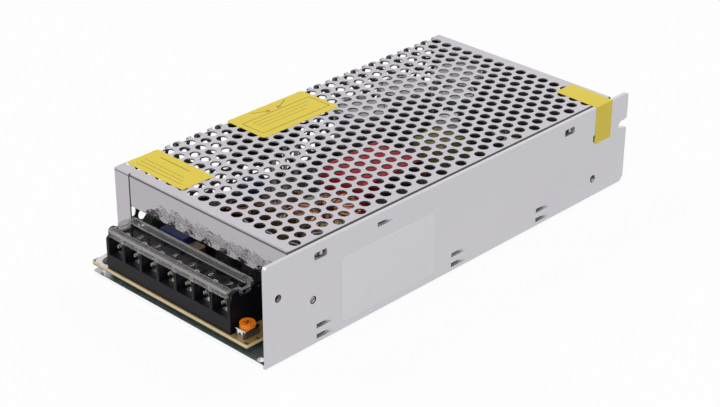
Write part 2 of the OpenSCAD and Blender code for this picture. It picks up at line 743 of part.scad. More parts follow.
module selector_switch() {
    seat() color([0.12, 0.12, 0.13]) difference() {
        union() {
            box([switch_in + 0.02, switch_in + 1], [switch_y - 15.5, switch_y + 15.5],
                [switch_z - 5.5, switch_z + 5.5]);
            box([switch_in + 0.9, switch_in + 9.5], [switch_y - switch_l / 2, switch_y + switch_l / 2],
                [switch_z - switch_h / 2 + 0.5, switch_z + switch_h / 2 - 0.5]);
            box([switch_in - 0.6, switch_in + 1], [switch_y - 7, switch_y + 7],
                [switch_z - 3.5, switch_z + 3.5]);
            for (s = [-1, 0, 1])
                box([switch_in + 9, switch_in + 12], [switch_y + s * 6 - 1.3, switch_y + s * 6 + 1.3],
                    [switch_z - 0.4, switch_z + 0.4]);
        }
        box([switch_in - 1, switch_in + 2.6], [switch_y - 6, switch_y + 6], [switch_z - 2.6, switch_z + 2.6]);
        for (s = [-1, 1]) translate([switch_in - 1, switch_y + s * 13, switch_z])
            rotate([0, 90, 0]) cylinder(r = 1.3, h = 4);
    }
}

module selector_slider() {
    y0 = switch_y - 5.9;
    seat() color("firebrick") difference() {
        box([switch_in - 0.4, switch_in + 2.5], [y0, y0 + 6.6], [switch_z - 2.5, switch_z + 2.5]);
        box([switch_in - 1, switch_in + 0.5], [y0 + 2.8, y0 + 3.8], [switch_z - 2, switch_z + 2]);
    }
}

module selector_rivets() {
    seat() color("silver") for (s = [-1, 1])
        translate([cover_left, switch_y + s * 13, switch_z]) rotate([0, 90, 0]) {
        cylinder(r = 1.22, h = cover_t + 1.7);
        translate([0, 0, cover_t + 1.05]) cylinder(r = 2, h = 0.8);
    }
}

module selector_wires() {
    seat() color("navajowhite") for (s = [-1, 0, 1])
        post([switch_in + 11, switch_y + s * 6], [top_z, switch_z - 0.42], 0.9);
}

// ---------------------------------------------------------------- transformer

tr = [12, 89];                      // middle of the main transformer
tr_core = [40, 32, 14];             // ferrite, across, along and high
tr_z = top_z + 15.5;                // axis of the winding

module transformer_core() {
    seat() color([0.17, 0.17, 0.18]) translate([tr[0], tr[1], tr_z]) difference() {
        translate([-tr_core[0] / 2, -tr_core[1] / 2, -tr_core[2] / 2]) cube(tr_core);
        for (s = [-1, 1]) translate([-13.6, s > 0 ? 6 : -11, -20]) cube([27.2, 5, 40]);
        // joint between the two halves
        for (s = [-1, 1]) translate([-0.06, s * 16 - 0.5, -20]) cube([0.12, 1, 40]);
    }
}

module transformer_bobbin() {
    seat() color([0.1, 0.1, 0.1]) translate([tr[0], tr[1], tr_z]) difference() {
        union() {
            for (x = [-13.4, 12.2]) across_x(x, x + 1.2) round_rect([-10.8, -14.2], [10.8, 14.2], 1.5);
            across_x(-13, 13) round_rect([-7.2, -8.4], [7.2, 8.4], 0.8);
            for (s = [-1, 1]) translate([s > 0 ? 12.25 : -15.8, -10.8, -tr_z + top_z]) cube([3.55, 21.6, 3]);
        }
        translate([-30, -6.1, -7.15]) cube([60, 12.2, 14.3]);
        for (s = [-1, 1]) translate([s > 0 ? 13.65 : -33.65, -30, -7.4]) cube([20, 60, 14.8]);
    }
}

module transformer_winding() {
    seat() color([0.75, 0.08, 0.08]) translate([tr[0], tr[1], tr_z]) across_x(-12.1, 12.1) difference() {
        round_rect([-10.7, -13.8], [10.7, 13.8], 4);
        round_rect([-7.3, -8.5], [7.3, 8.5], 0.8);
    }
}

module transformer_belt() {
    a = tr_core[1] / 2;
    seat() color([0.78, 0.1, 0.1]) translate([tr[0], tr[1], tr_z]) across_x(-11.5, 11.5) difference() {
        round_rect([-a - 0.5, -14.4], [a + 0.5, 14.4], 4.5);
        round_rect([-a - 0.05, -13.9], [a + 0.05, 13.9], 4);
    }
}

dr = [9.5, 130];                    // middle of the driver transformer
dr_z = top_z + 14.5;

module driver_core() {
    seat() color([0.2, 0.2, 0.21]) translate([dr[0], dr[1], dr_z]) difference() {
        translate([-10.5, -11.5, -4]) cube([21, 23, 8]);
        for (s = [-1, 1]) translate([-7.4, s > 0 ? 4.3 : -8.7, -20]) cube([14.8, 4.4, 40]);
    }
}

module driver_winding() {
    seat() color([0.6, 0.58, 0.2]) {
        translate([dr[0], dr[1], dr_z]) across_x(-7.2, 7.2) difference() {
            round_rect([-8.5, -11.5], [8.5, 11.5], 2.5);
            translate([-4.35, -4.05]) square([8.7, 8.1]);
        }
        box([dr[0] - 7.2, dr[0] + 7.2], [dr[1] - 6, dr[1] + 6], [top_z, top_z + 3.2]);
    }
}

// ---------------------------------------------------------------- output side

choke = [20.5, 54.5];
choke_r = [7, 12];
choke_z = [top_z + 3.6, top_z + 25.6];  // two cores, one on the other

module output_choke_base() {
    seat() color([0.13, 0.13, 0.13]) level(top_z, top_z + 1.5) difference() {
        translate(choke) circle(12.5);
        translate(choke) circle(4);
    }
}

module output_choke_core() {
    seat() color([0.62, 0.72, 0.5]) translate([choke[0], choke[1], 0]) {
        half = (choke_z[1] - choke_z[0]) / 2;
        for (z = [choke_z[0], choke_z[0] + half + 0.05]) ring_core(choke_r, [z, z + half - 0.05]);
    }
}

module output_choke_winding() {
    seat() color([0.72, 0.36, 0.18]) translate([choke[0], choke[1], 0])
        toroid_wire(choke_r, choke_z, choke_wire_d / 2, choke_turns, -150, 160, 6);
}

output_p = [[4.5, 24.5], [17.9, 24.5], [31.2, 25.4], [34.5, 39]];

module output_capacitors() {
    seat() color([0.1, 0.1, 0.12]) for (p = output_p) translate([p[0], p[1], top_z]) can(13, 25);
}

small_p = [[30, 118, 8, 12], [37.5, 122, 8, 12], [25, 153, 6.3, 11], [20, 161, 10, 16], [30, 163, 6.3, 11],
    [37, 62, 8, 12], [-14, 92, 8, 14], [5, 170.5, 8, 12], [-38, 128, 6.3, 11]];

module small_capacitors() {
    seat() color([0.12, 0.13, 0.16]) for (c = small_p) translate([c[0], c[1], top_z]) can(c[2], c[3]);
}

// A moulded power package against the right wall, legs down to the board
module power_package(y, z, w, h, d, hole) {
    x1 = wall_in - 0.3;
    legs_x = x1 - 2.2;
    difference() {
        box([x1 - d, x1], [y - w / 2, y + w / 2], [z, z + h]);
        if (hole > 0) translate([x1 - d - 1, y, hole]) rotate([0, 90, 0]) cylinder(r = 1.7, h = d + 2);
        translate([x1 - d, y, z + h]) rotate([0, 45, 0]) cube([0.8, w + 2, 0.8], center = true);
    }
    for (s = [-1, 0, 1])
        box([legs_x - 0.3, legs_x + 0.3], [y + s * w * 0.34 - 0.6, y + s * w * 0.34 + 0.6], [top_z, z + 1]);
}

module output_rectifier() {
    seat() color([0.12, 0.12, 0.12]) power_package(device_hole[0], 11, 15.6, 20, 4.8, device_hole[1]);
}

module rectifier_screw() {
    seat() color("lightgray") translate([0, device_hole[0], device_hole[1]]) rotate([0, 90, 0]) {
        translate([0, 0, wall_in - 5.13]) {
            cylinder(r = 1.35, h = 4.9 + chassis_t);
            rotate([180, 0, 30]) pan_head(2.9, 2);
        }
    }
}

transistor_y = [150, 166];

module power_transistors() {
    seat() color([0.12, 0.12, 0.12]) for (y = transistor_y) power_package(y, 11, 10.4, 17, 4.6, 0);
}

module insulating_pads() {
    seat() color([0.75, 0.76, 0.72]) {
        for (y = transistor_y) box([wall_in - 0.26, wall_in - 0.02], [y - 6.5, y + 6.5], [9.5, 30]);
        difference() {
            box([wall_in - 0.26, wall_in - 0.02], [device_hole[0] - 9, device_hole[0] + 9], [9.5, 32.5]);
            translate([wall_in - 1, device_hole[0], device_hole[1]])
                rotate([0, 90, 0]) cylinder(r = 1.8, h = 2);
        }
    }
}

module transistor_clamp() {
    x1 = wall_in - 0.3 - 4.6;
    z = clamp_hole[1];
    seat() color("lightslategray") difference() {
        union() {
            box([x1 - 1.55, x1 - 0.05], [transistor_y[0] - 7, clamp_hole[0] + 5], [z - 3.5, z + 3.5]);
            box([x1 - 1.55, wall_in - 0.05], [clamp_hole[0] + 3.5, clamp_hole[0] + 5], [z - 3.5, z + 3.5]);
        }
        translate([x1 - 5, clamp_hole[0], z]) rotate([0, 90, 0]) cylinder(r = 1.7, h = 8);
    }
}

module clamp_screw() {
    x1 = wall_in - 0.3 - 4.6 - 1.55;
    seat() color("lightgray") translate([x1 - 0.02, clamp_hole[0], clamp_hole[1]]) {
        rotate([0, -90, 0]) pan_head(2.8, 2);
        rotate([0, 90, 0]) translate([0, 0, -eps]) cylinder(r = screw_r, h = half_w - x1 - 0.3);
    }
}

module dip(p, pins, z) {
    l = pins / 2 * 2.54;
    translate([p[0], p[1], z]) {
        difference() {
            translate([-3.2, -l / 2, 0.6]) cube([6.4, l, 3.3]);
            translate([0, -l / 2, 3.4]) cylinder(r = 0.9, h = 1);
        }
        for (s = [-1, 1], i = [0 : pins / 2 - 1])
            translate([s * 3.5 - 0.32, -l / 2 + (i + 0.5) * 2.54 - 0.4, 0]) cube([0.64, 0.8, 2.2]);
    }
}

module control_chips() {
    seat() color([0.1, 0.1, 0.11]) {
        dip([32, 140], 16, top_z);
        dip([20, 116], 8, top_z);
        dip([24, 174], 8, top_z);
    }
}

module cement_resistor() {
    seat() color("white") level(top_z, top_z + 26) round_rect([-5.2, 142], [1.6, 149], 0.7);
}

resistor_p = [[-30, 64, 0], [-30, 69, 0], [-26, 76, 0], [-20, 84, 0],
    [-30, 90, 0], [-18.5, 71, 90], [8, 115, 0],
    [26, 108, 90], [8, 119, 0], [10, 150, 90], [15, 148, 90], [14.2, 171, 0], [33, 172, 90], [-38, 160, 90],
    [-38, 110, 90], [-2, 68, 90]];

module resistors() {
    seat() color("tan") for (q = resistor_p) translate([q[0], q[1], top_z]) rotate([0, 0, q[2]]) {
        translate([-3, 0, 1.5]) rotate([0, 90, 0]) {
            cylinder(r = 1.1, h = 6);
            for (z = [0, 4.6]) translate([0, 0, z]) cylinder(r = 1.3, h = 1.4);
            translate([0, 0, -1.6]) cylinder(r = 0.35, h = 9.2);
        }
        for (x = [-4.3, 4.3]) translate([x, 0, 0]) cylinder(r = 0.35, h = 1.6);
    }
}

film_p = [[-20, 61, 13, 5, 11], [-4, 112, 12, 5, 10], [36, 92, 5, 12, 11], [5, 178, 12, 5, 10]];

module film_capacitors() {
    seat() color([0.55, 0.3, 0.14]) {
        for (c = film_p)
            level(top_z, top_z + c[4])
                round_rect([c[0] - c[2] / 2, c[1] - c[3] / 2], [c[0] + c[2] / 2, c[1] + c[3] / 2], 1.2);
        level(top_z, top_z + 13) round_rect([-12.8, 17], [-6.8, 21.6], 1.2);
    }
}

module small_transistors() {
    seat() color([0.1, 0.1, 0.1])
        for (p = [[14, 110, 0], [38.4, 130, 90], [20, 150, 0], [-36, 97, 0], [-6, 122, 0]])
        translate([p[0], p[1], top_z]) rotate([0, 0, p[2]]) {
            translate([0, 0, 2.4]) difference() {
                cylinder(r = 2.3, h = 4.6);
                translate([-4, -4, -1]) cube([8, 2.9, 8]);
            }
            for (s = [-1, 0, 1]) translate([s * 1.3 - 0.22, 0.2, 0]) cube([0.44, 0.44, 2.5]);
        }
}

module jumpers() {
    seat() color("silver")
        for (p = [[-34, 80, 14], [-16, 72, 10], [25.5, 127, 8], [4, 165.5, 10], [22, 167, 10]])
        translate([p[0], p[1], top_z]) {
            translate([0, 0, 0.5]) rotate([0, 90, 0]) cylinder(r = 0.35, h = p[2]);
            for (x = [0, p[2]]) translate([x, 0, 0]) cylinder(r = 0.35, h = 0.6);
        }
}

// ---------------------------------------------------------------- labels

label_t = 0.1;

module side_label() {
    seat() color([0.8, 0.8, 0.83]) across_x(half_w, half_w + label_t)
        round_rect([36, 3.7], [84.2, 29.5], 2.4);
}

module top_label() {
    seat() color([0.93, 0.82, 0.25]) level(case_h, case_h + label_t)
        round_rect([cover_left + bend_r, 18.1], [-14.9, 33.3], 0.4);
}

module selector_label() {
    seat() color([0.93, 0.82, 0.25]) level(case_h, case_h + label_t)
        round_rect([cover_left + bend_r, switch_y - 20.4], [-25.4, switch_y + 19.9], 1);
}

module inspection_tape() {
    y = [178.2, 188.4];
    seat() color([0.93, 0.82, 0.25]) {
        level(case_h, case_h + label_t)
            polygon([[26.4, y[0] + 0.5], [half_w + label_t, y[0]],
                [half_w + label_t, y[1]], [26.4, y[1] + 0.8]]);
        box([half_w, half_w + label_t], y, [24, case_h + eps]);
    }
}

chassis();
cover();
cover_screws();
insulation_sheet();
standoffs();
board();
board_screws();
terminal_housing();
contact_strips();
clamp_plates();
terminal_screws();
terminal_lid();
trimmer_body();
trimmer_frame();
trimmer_rotor();
filter_capacitor();
thermistor();
fuse();
fuse_clips();
line_choke_core();
line_choke_windings();
line_choke_base();
safety_capacitors();
bridge_rectifier();
bulk_capacitors();
selector_switch();
selector_slider();
selector_rivets();
selector_wires();
transformer_core();
transformer_bobbin();
transformer_winding();
transformer_belt();
driver_core();
driver_winding();
output_choke_core();
output_choke_winding();
output_choke_base();
output_capacitors();
small_capacitors();
output_rectifier();
rectifier_screw();
power_transistors();
transistor_clamp();
clamp_screw();
insulating_pads();
control_chips();
cement_resistor();
resistors();
film_capacitors();
small_transistors();
jumpers();
side_label();
top_label();
selector_label();
inspection_tape();
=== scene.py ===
# %% [markdown]
# # An enclosed power supply, dressed
# The chassis, the cover, the board and every part on it come ready made, in metres, as the
# frame. They could be modelled again here, but then two models would have to agree. So the
# solids stay, and this lesson gives them their finishes, adds what is too fine for the solid
# model, and sets up a floor, soft light and a camera.

import math

import bpy
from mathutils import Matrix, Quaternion, Vector


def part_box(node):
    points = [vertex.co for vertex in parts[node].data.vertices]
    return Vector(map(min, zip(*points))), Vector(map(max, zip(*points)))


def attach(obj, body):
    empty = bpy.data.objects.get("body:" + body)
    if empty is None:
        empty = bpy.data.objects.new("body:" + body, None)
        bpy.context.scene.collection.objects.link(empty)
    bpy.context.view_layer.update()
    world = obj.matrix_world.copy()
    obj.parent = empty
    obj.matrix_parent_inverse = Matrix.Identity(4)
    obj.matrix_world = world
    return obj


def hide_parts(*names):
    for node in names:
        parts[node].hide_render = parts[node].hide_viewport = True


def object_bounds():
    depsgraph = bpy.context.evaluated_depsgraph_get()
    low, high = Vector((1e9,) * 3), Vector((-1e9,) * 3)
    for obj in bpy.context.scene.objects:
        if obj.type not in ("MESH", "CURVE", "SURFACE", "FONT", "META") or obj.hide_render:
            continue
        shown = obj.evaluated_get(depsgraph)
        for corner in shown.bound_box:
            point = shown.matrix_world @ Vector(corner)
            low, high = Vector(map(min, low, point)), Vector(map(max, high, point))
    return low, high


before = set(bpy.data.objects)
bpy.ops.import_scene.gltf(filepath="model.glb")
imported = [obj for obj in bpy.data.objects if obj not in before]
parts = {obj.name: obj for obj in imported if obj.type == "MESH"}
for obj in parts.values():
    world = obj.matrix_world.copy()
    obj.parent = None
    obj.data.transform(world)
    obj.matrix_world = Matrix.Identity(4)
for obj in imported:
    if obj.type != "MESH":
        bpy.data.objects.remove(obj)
solid_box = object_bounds()
mm = 0.001

# %% [markdown]
# ## Arithmetic on sockets
# A finish is a network of nodes. Wiring each sum by hand buries the idea, so a small class
# holds one output socket, and its operators add the Math node for us: `1 - mask` then reads
# as it would on paper. A mask is a wire that is 1 on some of a surface and 0 on the rest, so
# masks are multiplied where both must hold.

# %% A socket that can be added and multiplied
class Wire:
    """One output socket in a graph of nodes."""

    def __init__(self, graph, socket):
        self.graph, self.socket = graph, socket

    def output(self, which):
        """Another output of the same node."""
        return Wire(self.graph, self.socket.node.outputs[which])

    def maths(self, operation, *values):
        return self.graph.node("ShaderNodeMath", {"operation": operation}, dict(enumerate(values)))

    def __add__(self, other):
        return self.maths("ADD", self, other)

    def __sub__(self, other):
        return self.maths("SUBTRACT", self, other)

    def __rsub__(self, other):
        return self.maths("SUBTRACT", other, self)

    def __mul__(self, other):
        return self.maths("MULTIPLY", self, other)

    def __truediv__(self, other):
        return self.maths("DIVIDE", self, other)

    def __rtruediv__(self, other):
        return self.maths("DIVIDE", other, self)

    def __mod__(self, other):
        return self.maths("FLOORED_MODULO", self, other)

    def __rmod__(self, other):
        return self.maths("FLOORED_MODULO", other, self)

    def __gt__(self, other):
        return self.maths("GREATER_THAN", self, other)

    def __lt__(self, other):
        return self.maths("LESS_THAN", self, other)

    def __abs__(self):
        return self.maths("ABSOLUTE", self)

    def most(self, *others):
        """The greatest of this wire and some others: the union, where they are masks."""
        wire = self
        for other in others:
            wire = self.maths("MAXIMUM", wire, other)
        return wire

    def root(self):
        return self.maths("SQRT", self)

    __radd__, __rmul__ = __add__, __mul__


print("reflected operators:", [name for name in vars(Wire) if name.startswith("__r")])

# %% [markdown]
# ## Any other node
# Noise, mixes, coordinates and shaders aren't sums. They all come from one method, which takes
# the node's type, its settings, and a value or a wire for each socket. The settings go first,
# because some of them decide which sockets a node has.

# %% A graph of nodes
class Graph:
    def __init__(self, tree):
        self.tree = tree

    def feed(self, target, value):
        """Links a wire to a socket, or sets the socket's own value."""
        if isinstance(value, Wire):
            self.tree.links.new(value.socket, target)
        else:
            target.default_value = value

    def node(self, kind, settings=None, inputs=None, output=0):
        """Adds one node, and gives one of its outputs as a wire."""
        node = self.tree.nodes.new(kind)
        for name, value in (settings or {}).items():
            setattr(node, name, value)
        for name, value in (inputs or {}).items():
            self.feed(node.inputs[name], value)
        return Wire(self, node.outputs[output])

    def show(self, wire, end="Material Output"):
        """Makes a wire the surface that is rendered."""
        self.feed(self.tree.nodes[end].inputs["Surface"], wire)


print("one method makes any node:", Graph.node.__name__)

# %% [markdown]
# ## One finish, one object
# Every finish here is a Principled shader. What is the same all over a surface is set on the
# shader itself. What varies is wired in. The class keeps the few things that all finishes
# need: the place on the part in millimetres, the way the surface faces, and some noise. The
# place comes from the part itself and not from an unwrapped map, so a grain is as fine on a
# screw as on the cover.

# %% A finish
class Finish(Graph):
    def __init__(self, name, colour, rough, metal=0.0, **constants):
        self.material = bpy.data.materials.new(name)
        self.material.use_nodes = True
        super().__init__(self.material.node_tree)
        self.shader = self.tree.nodes["Principled BSDF"]
        self.set("Base Color", (*colour, 1.0))
        self.set("Roughness", rough)
        self.set("Metallic", metal)
        for socket, value in constants.items():
            self.set(socket.replace("_", " "), value)

    def set(self, socket, value):
        self.feed(self.shader.inputs[socket], value)

    def axes(self, coordinate):
        where = self.node("ShaderNodeTexCoord", output=coordinate)
        first = self.node("ShaderNodeSeparateXYZ", None, {0: where})
        return first, first.output(1), first.output(2)

    def place(self):
        """X, Y and Z on the part, in millimetres."""
        return [axis / mm for axis in self.axes("Object")]

    def facing(self):
        """The surface's normal on the part, as X, Y and Z."""
        return self.axes("Normal")

    def noise(self, size_mm, stretch=(1, 1, 1), detail=3.0, rough=0.55):
        """Noise from 0 to 1 whose blotches are about size_mm across, drawn out along an axis."""
        where = self.node("ShaderNodeTexCoord", output="Object")
        scaled = self.node("ShaderNodeMapping", {"vector_type": "POINT"},
                           {"Vector": where, "Scale": [1 / (mm * size_mm * s) for s in stretch]})
        return self.node("ShaderNodeTexNoise", None,
                         {"Vector": scaled, "Scale": 1.0, "Detail": detail, "Roughness": rough})

    def mix(self, amount, low, high):
        """A colour between two others, either of which may be a wire."""
        low, high = (c if isinstance(c, Wire) else (*c, 1.0) for c in (low, high))
        return self.node("ShaderNodeMix", {"data_type": "RGBA", "clamp_factor": True},
                         {0: amount, 6: low, 7: high}, output=2)

    def tint(self, mask, colour):
        """Lays another colour over the base colour where the mask is 1."""
        plain = Wire(self, self.shader.inputs["Base Color"].links[0].from_socket)
        self.set("Base Color", self.mix(mask, plain, colour))

    def bump(self, height, depth_mm):
        self.set("Normal", self.node("ShaderNodeBump", None,
                                     {"Height": height, "Strength": 1.0, "Distance": depth_mm * mm}))


print("a finish can", [name for name in vars(Finish) if not name.startswith("__")])

# %% [markdown]
# ## Handing a finish to a part
# A part's shape is never touched. Its material slots are given the new finish, and that is
# all. Most colours below come in a light and a dark shade, which one small function makes.

# %% Dressing, shades and middles
def dress(finish, *names):
    for name in names:
        for slot in parts[name].material_slots:
            slot.material = finish.material
    print(finish.material.name, "->", ", ".join(names))


def shade(colour, factor):
    """The same colour, lighter or darker."""
    return [min(1, c * factor) for c in colour]


def middle(name):
    """The middle of a part's box, in millimetres."""
    low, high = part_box(name)
    return [(a + b) / 2 / mm for a, b in zip(low, high)]


cover_low, cover_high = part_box("cover")
chassis_low, chassis_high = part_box("chassis")
print("the cover's middle is", [round(v, 2) for v in middle("cover")])

# %% [markdown]
# ## The folded aluminium sheet
# Mill-finish aluminium is neither mirror nor paint: rolling leaves faint streaks along the
# sheet, and handling leaves patches that are a little duller. Scratches could be modelled, but
# they are far too fine. A metal shader with stretched noise in its roughness gives both marks,
# and a second, large noise shifts the grey by a hair.

# %% Rolled sheet
ALUMINIUM = (0.585, 0.575, 0.605)


def rolled(finish, colour, painted_shade):
    """Streaked, patchy grey outside, and a dark face, as painted shade, where the given mask is 1."""
    streaks = finish.noise(0.35, (1, 30, 1), 2.0)
    patches = finish.noise(22, (1, 1.6, 1), 3.0)
    outer = finish.mix(patches * 0.6 + streaks * 0.4, shade(colour, 0.95), shade(colour, 1.04))
    # painted shade: where the mask is 1 the grey is taken down almost to black
    finish.set("Base Color", finish.mix(painted_shade, outer, shade(colour, 0.12)))
    satin = streaks * 0.05 + patches * 0.08 + 0.36
    return streaks, patches, satin


print("greys of the sheet:", [round(shade(ALUMINIUM, factor)[0], 3) for factor in (0.12, 0.95, 1.04)])

# %% [markdown]
# ## The chassis
# One sheet, folded up into a floor and a wall. It could be cut into faces with a material
# each, but masks on place and facing keep it whole. The wall's inner face is dull and painted
# dark, as painted shade, and the floor is smoother than the rest and painted a little darker,
# also painted shade. The floor's front edge is painted near white: a painted highlight. The
# wall's front hole looks dark brown from outside. Bare metal would shine in its bore, so the
# bore is painted dark brown instead: painted shade.

# %% Chassis
SHEET = 1.5                    # thickness of the sheet, in millimetres
WALL_ZONE = 2.5                # how far in from its outer face the wall and its bend reach
HOLE_Y, HOLE_Z = 5.8, 26.2     # from the front end, and from the base
HOLE_HALF = 2.4                # a little more than the hole's radius
chassis_metal = Finish("mill_aluminium", ALUMINIUM, 0.42)
x, y, z = chassis_metal.place()
nx, ny, nz = chassis_metal.facing()
wall = chassis_high.x / mm
hole_y = chassis_low.y / mm + HOLE_Y
under_cover = (y > cover_low.y / mm) * (y < cover_high.y / mm)
# painted shade: the wall's inner face under the cover
painted_shade = (nx < -0.3) * under_cover * (z > SHEET + 0.1)
floor_side = (nz > 0.5) * (z < SHEET + 0.2)
# painted highlight: the floor's front edge is painted near white
front_edge_highlight = (z < SHEET) * (ny < -0.6) * (x < wall - 2.0)
round_hole = (abs(y - hole_y) < HOLE_HALF) * (abs(z - HOLE_Z) < HOLE_HALF)
# painted shade: the bore of the wall's front hole is painted dark brown
bore = (abs(nx) < 0.5) * (x > wall - WALL_ZONE) * round_hole
print("hole in the wall at", round(hole_y, 2), HOLE_Z)

# %% Chassis shader
# painted shade: the wall's inner face dark, and the floor's top a little darker
streaks, patches, satin = rolled(chassis_metal, ALUMINIUM, painted_shade.most(floor_side * 0.3))
chassis_metal.tint(front_edge_highlight, (0.95, 0.95, 0.96))
chassis_metal.tint(bore, (0.12, 0.09, 0.08))
chassis_metal.set("Roughness", satin * (1 - floor_side) + floor_side * 0.16 + painted_shade * 0.2)
chassis_metal.set("Metallic", 0.88 - painted_shade * 0.4)
chassis_metal.bump(streaks, 0.005)
dress(chassis_metal, "chassis")

# %% [markdown]
# ## The perforated cover
# The same sheet, thinner and punched. Its front flange was never scuffed by handling and still
# shines like a mirror with a slight ripple, so the roughness drops there. The flange is picked
# out by where it is: the face that looks towards the terminals, right of the corner pillar.
# The faces that look into the case are dull and painted darker, as painted shade. So are the
# tight folds along the top, which drop into the gap beside the wall, and the pillar's seam.

# %% Where the cover is bright, and where it is dull and painted dark as shade
COVER_ALUMINIUM = (0.515, 0.492, 0.527)
PILLAR = 8.9                   # width of the corner pillar beside the flange
TO_END = 60.0                  # from the middle, this far out only an end's own faces are met
SHEET_UNDERSIDE = 39.0
FOLD = 1.2                     # how far down from the top the folds reach
SEAM = (1.0, 0.65)             # the pillar's seam lies between these depths
cover_metal = Finish("punched_aluminium", ALUMINIUM, 0.42)
x, y, z = cover_metal.place()
nx, ny, nz = cover_metal.facing()
front, top, cover_y = cover_low.y / mm, cover_high.z / mm, middle("cover")[1]
flange_left = cover_low.x / mm + PILLAR
on_flange = (y < front + 0.1) * (x > flange_left) * (ny < -0.8)
left_face = (nx > 0.9) * (x < 0)
rear_face = (ny < -0.9) * (y > cover_y + TO_END) * (z < SHEET_UNDERSIDE)
front_face = (ny > 0.9) * (y < cover_y - TO_END) * (z < SHEET_UNDERSIDE)
high = z > top - FOLD
# painted shade: the folds along the top and the pillar's seam, dark for the gap beside the wall
side_fold = (nx > 0.2) * high * (x > 0)
front_fold = (ny < -0.7) * high * (nz > 0.04) * 0.9
soft_fold = (ny < -0.15) * high * (nz > 0.1) * 0.4
seam_gap_shade = (ny < -0.8) * (x < flange_left) * (z > top - SEAM[0]) * (z < top - SEAM[1])
painted_shade = (nz < -0.5).most(left_face, rear_face, front_face, side_fold, front_fold, soft_fold, seam_gap_shade)
print("flange from x =", round(flange_left, 2), "mm")

# %% Cover shader
# painted shade on the faces in the mask, and the flange's grey a little darker
streaks, patches, satin = rolled(cover_metal, COVER_ALUMINIUM, painted_shade.most(on_flange * 0.16))
ripple = cover_metal.noise(3, (1.4, 1, 1), 2.0)
mirror = patches * 0.03 + 0.02
cover_metal.set("Roughness", satin * (1 - on_flange) + on_flange * mirror + painted_shade * 0.3)
cover_metal.set("Metallic", on_flange * 0.1 + 0.88 - painted_shade * 0.7)
cover_metal.bump(streaks * 0.005 * (1 - on_flange) + ripple * on_flange * 0.16, 1.0)
dress(cover_metal, "cover")

# %% [markdown]
# ## Screws and plated pieces
# Zinc and nickel plate are bright but softer than chrome. Polished metal would be one number
# for the roughness; fine all-round noise in it stands for the plating's grain, and a slight
# bump keeps the highlights from being perfect.

# %% Plated metals
def plated(name, colour, rough, metal=1.0, grain=0.12):
    finish = Finish(name, colour, rough, metal)
    speckle = finish.noise(0.5, detail=2.0)
    finish.set("Roughness", rough - grain / 2 + speckle * grain)
    finish.set("Base Color", finish.mix(speckle, shade(colour, 0.88), colour))
    finish.bump(speckle, 0.01)
    return finish


zinc = plated("zinc_plate", (0.70, 0.70, 0.68), 0.32)
nickel = plated("nickel_plate", (0.74, 0.74, 0.72), 0.1, grain=0.05)
tin = plated("tinned_metal", (0.78, 0.77, 0.72), 0.24)
black_steel = plated("dulled_steel", (0.035, 0.035, 0.037), 0.34)
dress(zinc, "cover_screws", "clamp_screw", "selector_rivets", "standoffs", "transistor_clamp")
dress(nickel, "clamp_plates", "terminal_screws", "trimmer_frame")
dress(tin, "contact_strips", "fuse_clips", "jumpers")
dress(black_steel, "board_screws")

# %% [markdown]
# ## The end of a screw
# The rectifier's screw comes through the wall, and its slotted end is seen from outside. The
# slot is shallow enough to be a mark: the slot and the rim round the end are painted dark, as
# painted shade. It needs two masks that later steps use again: a straight stroke, and the
# distance from a centre.

# %% Screw end
def stroke(x, y, start, end, width):
    """A mask that is 1 along a straight line between two points, in millimetres."""
    run = (end[0] - start[0], end[1] - start[1])
    length = math.hypot(*run)
    along = ((x - start[0]) * run[0] + (y - start[1]) * run[1]) / length
    across = ((x - start[0]) * run[1] - (y - start[1]) * run[0]) / length
    return (abs(across) < width / 2) * (along > 0) * (along < length)


def distance(x, y, centre):
    off_x, off_y = x - centre[0], y - centre[1]
    return (off_x * off_x + off_y * off_y).root()


SLOT_X, SLOT_Y = 1.5, 0.6      # from the screw's middle to one end of the slot
END_RADIUS = 1.05
screw_end = plated("screw_end", (0.42, 0.42, 0.41), 0.4)
y, z = screw_end.place()[1:]
centre = middle("rectifier_screw")[1:]
slot_start = (centre[0] - SLOT_X, centre[1] - SLOT_Y)
slot_end = (centre[0] + SLOT_X, centre[1] + SLOT_Y)
slot = stroke(y, z, slot_start, slot_end, 0.5)
# painted shade: the slot and the rim beyond the end's radius are painted dark
screw_end.tint((distance(y, z, centre) > END_RADIUS).most(slot), (0.06, 0.055, 0.05))
dress(screw_end, "rectifier_screw")

# %% [markdown]
# ## The circuit board
# A paper laminate: golden brown on the component side, green lacquer over the copper side, and
# a raw tan edge where it was sheared. The tracks under the lacquer could be drawn one by one,
# but only their paler green shows, so a pattern of cells stands for them. One shader does all
# three sides, by asking which way the surface faces.

# %% The board's three sides
TRACKS_PER_METRE = 260.0
LOW_STRIP = 0.35                    # the edge's lowest, darkest strip
board_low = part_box("board")[0]
board_finish = Finish("paper_laminate", (0.55, 0.40, 0.16), 0.38)
x, y, z = board_finish.place()
nz = board_finish.facing()[2]
up, down = nz > 0.5, nz < -0.5
fibre = board_finish.noise(1.6, (1, 2.5, 1), 4.0)
where = board_finish.node("ShaderNodeTexCoord", output="Object")
cells = board_finish.node("ShaderNodeTexVoronoi", {"distance": "CHEBYCHEV"},
                          {"Vector": where, "Scale": TRACKS_PER_METRE})
top_shade = board_finish.mix(fibre, (0.18, 0.118, 0.036), (0.27, 0.18, 0.06))
# green lacquer, but painted much lighter than lacquer is: painted light, so that the underside and its
# reflection in the chassis floor show in the gap's shade
lightened_underside = board_finish.mix(cells > 0.42, (0.26, 0.48, 0.37), (0.31, 0.55, 0.43))
edge_shade = board_finish.mix(fibre, (0.62, 0.46, 0.25), (0.76, 0.60, 0.36))
